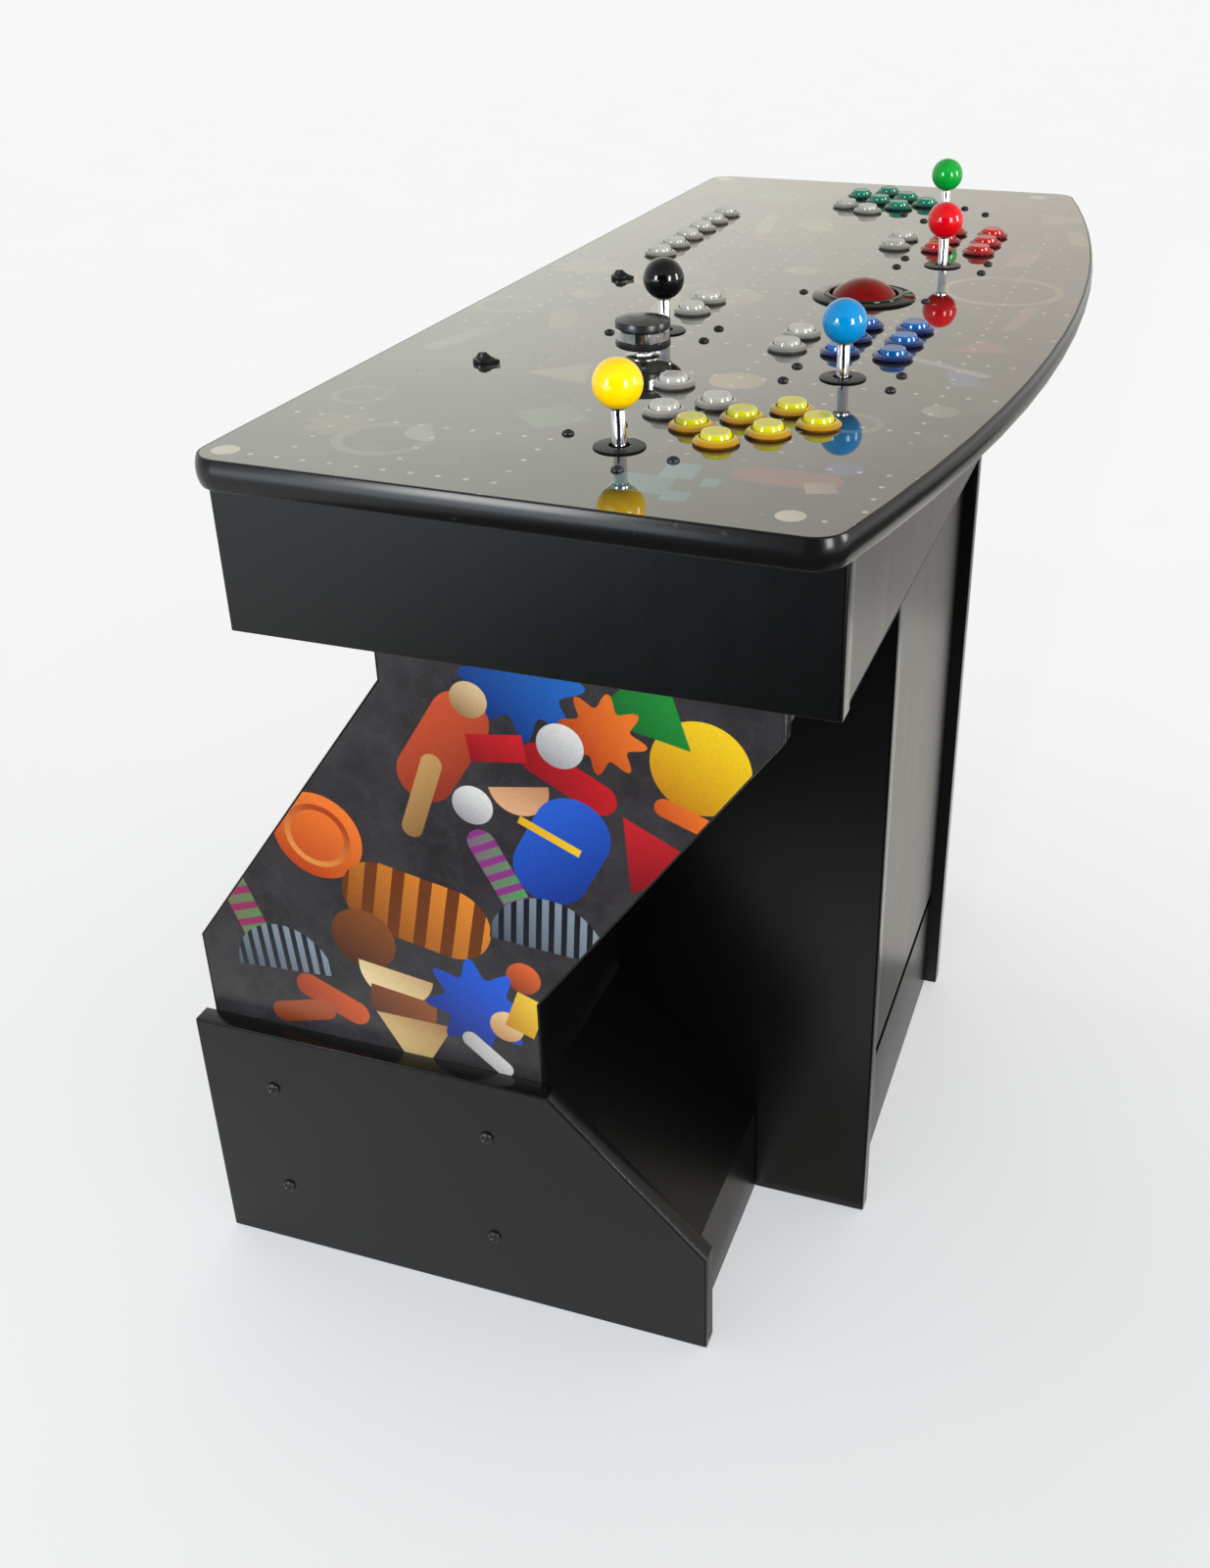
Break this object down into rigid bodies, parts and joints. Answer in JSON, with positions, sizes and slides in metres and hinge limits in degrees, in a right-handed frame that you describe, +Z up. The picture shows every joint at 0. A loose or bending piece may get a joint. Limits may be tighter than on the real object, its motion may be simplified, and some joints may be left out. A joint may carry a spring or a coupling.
{
  "type": "arcade cabinet",
  "caption": "Stand-alone arcade control cabinet for several players: wide bowed deck with ball-top sticks, push buttons, trackball and spinner on a box, column and raked leg.",
  "frame": {"origin": "middle of the footprint's bounding box, on the floor", "axes": "+X along the deck to the players' right, +Y toward the rear, +Z up"},
  "size_m": [1.193, 0.7384, 0.9847],
  "materials": {
    "black_laminate": "satin black laminate over board",
    "hinge_metal": "black enamel",
    "deck_board": "printed board under the clear overlay",
    "clear_overlay": "clear glossy acrylic sheet",
    "edge_molding": "flexible black edge molding, soft sheen",
    "ring_plastic": "polished black",
    "trackball": "polished translucent dark red",
    "spinner_metal": "black anodised with a bright band",
    "knob_plastic": "black moulded plastic",
    "gimbal_metal": "dark plated metal",
    "ball_yellow": "glossy yellow ball on a bright shaft",
    "ball_black": "glossy black ball on a bright shaft",
    "ball_blue": "glossy blue ball on a bright shaft",
    "ball_red": "glossy red ball on a bright shaft",
    "ball_green": "glossy green ball on a bright shaft",
    "button_yellow": "translucent yellow",
    "button_blue": "translucent blue",
    "button_red": "translucent red",
    "button_green": "translucent teal green"
  },
  "bodies": {
    "cabinet": {"base_left_cheek": "black_laminate", "base_right_cheek": "black_laminate", "base_kick_panel": "black_laminate", "leg_left_board": "black_laminate", "leg_right_board": "black_laminate", "leg_front_panel": "black_laminate", "leg_rear_panel": "black_laminate", "column_left_board": "black_laminate", "column_right_board": "black_laminate", "column_plinth": "black_laminate", "column_door_hinge": "hinge_metal", "box_left_panel": "black_laminate", "box_right_panel": "black_laminate", "box_front_panel": "black_laminate", "box_rear_panel": "black_laminate", "box_floor": "black_laminate", "deck_board": "deck_board", "acrylic_overlay": "clear_overlay", "edge_molding": "edge_molding", "trackball_ring": "ring_plastic"},
    "door": {"column_door": "black_laminate"},
    "trackball": {"trackball": "trackball"},
    "spinner": {"spinner_knob": "spinner_metal"},
    "pointer_left": {"pointer_knob_left": "knob_plastic"},
    "pointer_right": {"pointer_knob_right": "knob_plastic"},
    "gimbal_yellow": {"gimbal_yellow": "gimbal_metal"},
    "stick_yellow": {"stick_yellow": "ball_yellow"},
    "gimbal_black": {"gimbal_black": "gimbal_metal"},
    "stick_black": {"stick_black": "ball_black"},
    "gimbal_blue": {"gimbal_blue": "gimbal_metal"},
    "stick_blue": {"stick_blue": "ball_blue"},
    "gimbal_red": {"gimbal_red": "gimbal_metal"},
    "stick_red": {"stick_red": "ball_red"},
    "gimbal_green": {"gimbal_green": "gimbal_metal"},
    "stick_green": {"stick_green": "ball_green"},
    "plunger_yellow_1": {"plunger_yellow_1": "button_yellow"},
    "plunger_yellow_2": {"plunger_yellow_2": "button_yellow"},
    "plunger_yellow_3": {"plunger_yellow_3": "button_yellow"},
    "plunger_yellow_4": {"plunger_yellow_4": "button_yellow"},
    "plunger_yellow_5": {"plunger_yellow_5": "button_yellow"},
    "plunger_yellow_6": {"plunger_yellow_6": "button_yellow"},
    "plunger_blue_1": {"plunger_blue_1": "button_blue"},
    "plunger_blue_2": {"plunger_blue_2": "button_blue"},
    "plunger_blue_3": {"plunger_blue_3": "button_blue"},
    "plunger_blue_4": {"plunger_blue_4": "button_blue"},
    "plunger_blue_5": {"plunger_blue_5": "button_blue"},
    "plunger_blue_6": {"plunger_blue_6": "button_blue"},
    "plunger_red_1": {"plunger_red_1": "button_red"},
    "plunger_red_2": {"plunger_red_2": "button_red"},
    "plunger_red_3": {"plunger_red_3": "button_red"},
    "plunger_red_4": {"plunger_red_4": "button_red"},
    "plunger_red_5": {"plunger_red_5": "button_red"},
    "plunger_red_6": {"plunger_red_6": "button_red"},
    "plunger_green_1": {"plunger_green_1": "button_green"},
    "plunger_green_2": {"plunger_green_2": "button_green"},
    "plunger_green_3": {"plunger_green_3": "button_green"},
    "plunger_green_4": {"plunger_green_4": "button_green"},
    "plunger_green_5": {"plunger_green_5": "button_green"},
    "plunger_green_6": {"plunger_green_6": "button_green"}
  },
  "joints": [
    {"name": "door_swing", "type": "hinge", "parent": "cabinet", "child": "door", "pos_m": [-0.1934, -0.25045, 0.15], "axis": [0, 0, -1], "range_deg": [0, 90]},
    {"name": "trackball_roll", "type": "hinge", "parent": "cabinet", "child": "trackball", "pos_m": [0.00042, -0.17124, 0.90169], "axis": [1, 0, 0], "continuous": true},
    {"name": "spinner_turn", "type": "hinge", "parent": "cabinet", "child": "spinner", "pos_m": [-0.25259, -0.04625, 0.9226], "axis": [0, 0, 1], "continuous": true},
    {"name": "pointer_turn_left", "type": "hinge", "parent": "cabinet", "child": "pointer_left", "pos_m": [-0.31157, 0.06877, 0.9226], "axis": [0, 0, 1], "range_deg": [-135, 135]},
    {"name": "pointer_turn_right", "type": "hinge", "parent": "cabinet", "child": "pointer_right", "pos_m": [-0.00161, 0.07074, 0.9226], "axis": [0, 0, 1], "range_deg": [-135, 135]},
    {"name": "lean_ahead_yellow", "type": "hinge", "parent": "cabinet", "child": "gimbal_yellow", "pos_m": [-0.4736, -0.11027, 0.9126], "axis": [0.7071, -0.7071, 0], "range_deg": [-7, 7], "stiffness_Nm_per_rad": 0.5},
    {"name": "lean_across_yellow", "type": "hinge", "parent": "gimbal_yellow", "child": "stick_yellow", "pos_m": [-0.4736, -0.11027, 0.9126], "axis": [0.7071, 0.7071, 0], "range_deg": [-7, 7], "stiffness_Nm_per_rad": 0.5},
    {"name": "lean_ahead_black", "type": "hinge", "parent": "cabinet", "child": "gimbal_black", "pos_m": [-0.17361, -0.03623, 0.9126], "axis": [1, 0, 0], "range_deg": [-7, 7], "stiffness_Nm_per_rad": 0.5},
    {"name": "lean_across_black", "type": "hinge", "parent": "gimbal_black", "child": "stick_black", "pos_m": [-0.17361, -0.03623, 0.9126], "axis": [0, 1, 0], "range_deg": [-7, 7], "stiffness_Nm_per_rad": 0.5},
    {"name": "lean_ahead_blue", "type": "hinge", "parent": "cabinet", "child": "gimbal_blue", "pos_m": [-0.26459, -0.21623, 0.9126], "axis": [1, 0, 0], "range_deg": [-7, 7], "stiffness_Nm_per_rad": 0.5},
    {"name": "lean_across_blue", "type": "hinge", "parent": "gimbal_blue", "child": "stick_blue", "pos_m": [-0.26459, -0.21623, 0.9126], "axis": [0, 1, 0], "range_deg": [-7, 7], "stiffness_Nm_per_rad": 0.5},
    {"name": "lean_ahead_red", "type": "hinge", "parent": "cabinet", "child": "gimbal_red", "pos_m": [0.15343, -0.21623, 0.9126], "axis": [1, 0, 0], "range_deg": [-7, 7], "stiffness_Nm_per_rad": 0.5},
    {"name": "lean_across_red", "type": "hinge", "parent": "gimbal_red", "child": "stick_red", "pos_m": [0.15343, -0.21623, 0.9126], "axis": [0, 1, 0], "range_deg": [-7, 7], "stiffness_Nm_per_rad": 0.5},
    {"name": "lean_ahead_green", "type": "hinge", "parent": "cabinet", "child": "gimbal_green", "pos_m": [0.41641, -0.16927, 0.9126], "axis": [0.7071, 0.7071, 0], "range_deg": [-7, 7], "stiffness_Nm_per_rad": 0.5},
    {"name": "lean_across_green", "type": "hinge", "parent": "gimbal_green", "child": "stick_green", "pos_m": [0.41641, -0.16927, 0.9126], "axis": [-0.7071, 0.7071, 0], "range_deg": [-7, 7], "stiffness_Nm_per_rad": 0.5},
    {"name": "press_yellow_1", "type": "slide", "parent": "cabinet", "child": "plunger_yellow_1", "axis": [0, 0, -1], "range_m": [0, 0.0025], "stiffness_N_per_m": 150, "springref_m": -0.003},
    {"name": "press_yellow_2", "type": "slide", "parent": "cabinet", "child": "plunger_yellow_2", "axis": [0, 0, -1], "range_m": [0, 0.0025], "stiffness_N_per_m": 150, "springref_m": -0.003},
    {"name": "press_yellow_3", "type": "slide", "parent": "cabinet", "child": "plunger_yellow_3", "axis": [0, 0, -1], "range_m": [0, 0.0025], "stiffness_N_per_m": 150, "springref_m": -0.003},
    {"name": "press_yellow_4", "type": "slide", "parent": "cabinet", "child": "plunger_yellow_4", "axis": [0, 0, -1], "range_m": [0, 0.0025], "stiffness_N_per_m": 150, "springref_m": -0.003},
    {"name": "press_yellow_5", "type": "slide", "parent": "cabinet", "child": "plunger_yellow_5", "axis": [0, 0, -1], "range_m": [0, 0.0025], "stiffness_N_per_m": 150, "springref_m": -0.003},
    {"name": "press_yellow_6", "type": "slide", "parent": "cabinet", "child": "plunger_yellow_6", "axis": [0, 0, -1], "range_m": [0, 0.0025], "stiffness_N_per_m": 150, "springref_m": -0.003},
    {"name": "press_blue_1", "type": "slide", "parent": "cabinet", "child": "plunger_blue_1", "axis": [0, 0, -1], "range_m": [0, 0.0025], "stiffness_N_per_m": 150, "springref_m": -0.003},
    {"name": "press_blue_2", "type": "slide", "parent": "cabinet", "child": "plunger_blue_2", "axis": [0, 0, -1], "range_m": [0, 0.0025], "stiffness_N_per_m": 150, "springref_m": -0.003},
    {"name": "press_blue_3", "type": "slide", "parent": "cabinet", "child": "plunger_blue_3", "axis": [0, 0, -1], "range_m": [0, 0.0025], "stiffness_N_per_m": 150, "springref_m": -0.003},
    {"name": "press_blue_4", "type": "slide", "parent": "cabinet", "child": "plunger_blue_4", "axis": [0, 0, -1], "range_m": [0, 0.0025], "stiffness_N_per_m": 150, "springref_m": -0.003},
    {"name": "press_blue_5", "type": "slide", "parent": "cabinet", "child": "plunger_blue_5", "axis": [0, 0, -1], "range_m": [0, 0.0025], "stiffness_N_per_m": 150, "springref_m": -0.003},
    {"name": "press_blue_6", "type": "slide", "parent": "cabinet", "child": "plunger_blue_6", "axis": [0, 0, -1], "range_m": [0, 0.0025], "stiffness_N_per_m": 150, "springref_m": -0.003},
    {"name": "press_red_1", "type": "slide", "parent": "cabinet", "child": "plunger_red_1", "axis": [0, 0, -1], "range_m": [0, 0.0025], "stiffness_N_per_m": 150, "springref_m": -0.003},
    {"name": "press_red_2", "type": "slide", "parent": "cabinet", "child": "plunger_red_2", "axis": [0, 0, -1], "range_m": [0, 0.0025], "stiffness_N_per_m": 150, "springref_m": -0.003},
    {"name": "press_red_3", "type": "slide", "parent": "cabinet", "child": "plunger_red_3", "axis": [0, 0, -1], "range_m": [0, 0.0025], "stiffness_N_per_m": 150, "springref_m": -0.003},
    {"name": "press_red_4", "type": "slide", "parent": "cabinet", "child": "plunger_red_4", "axis": [0, 0, -1], "range_m": [0, 0.0025], "stiffness_N_per_m": 150, "springref_m": -0.003},
    {"name": "press_red_5", "type": "slide", "parent": "cabinet", "child": "plunger_red_5", "axis": [0, 0, -1], "range_m": [0, 0.0025], "stiffness_N_per_m": 150, "springref_m": -0.003},
    {"name": "press_red_6", "type": "slide", "parent": "cabinet", "child": "plunger_red_6", "axis": [0, 0, -1], "range_m": [0, 0.0025], "stiffness_N_per_m": 150, "springref_m": -0.003},
    {"name": "press_green_1", "type": "slide", "parent": "cabinet", "child": "plunger_green_1", "axis": [0, 0, -1], "range_m": [0, 0.0025], "stiffness_N_per_m": 150, "springref_m": -0.003},
    {"name": "press_green_2", "type": "slide", "parent": "cabinet", "child": "plunger_green_2", "axis": [0, 0, -1], "range_m": [0, 0.0025], "stiffness_N_per_m": 150, "springref_m": -0.003},
    {"name": "press_green_3", "type": "slide", "parent": "cabinet", "child": "plunger_green_3", "axis": [0, 0, -1], "range_m": [0, 0.0025], "stiffness_N_per_m": 150, "springref_m": -0.003},
    {"name": "press_green_4", "type": "slide", "parent": "cabinet", "child": "plunger_green_4", "axis": [0, 0, -1], "range_m": [0, 0.0025], "stiffness_N_per_m": 150, "springref_m": -0.003},
    {"name": "press_green_5", "type": "slide", "parent": "cabinet", "child": "plunger_green_5", "axis": [0, 0, -1], "range_m": [0, 0.0025], "stiffness_N_per_m": 150, "springref_m": -0.003},
    {"name": "press_green_6", "type": "slide", "parent": "cabinet", "child": "plunger_green_6", "axis": [0, 0, -1], "range_m": [0, 0.0025], "stiffness_N_per_m": 150, "springref_m": -0.003}
  ]
}
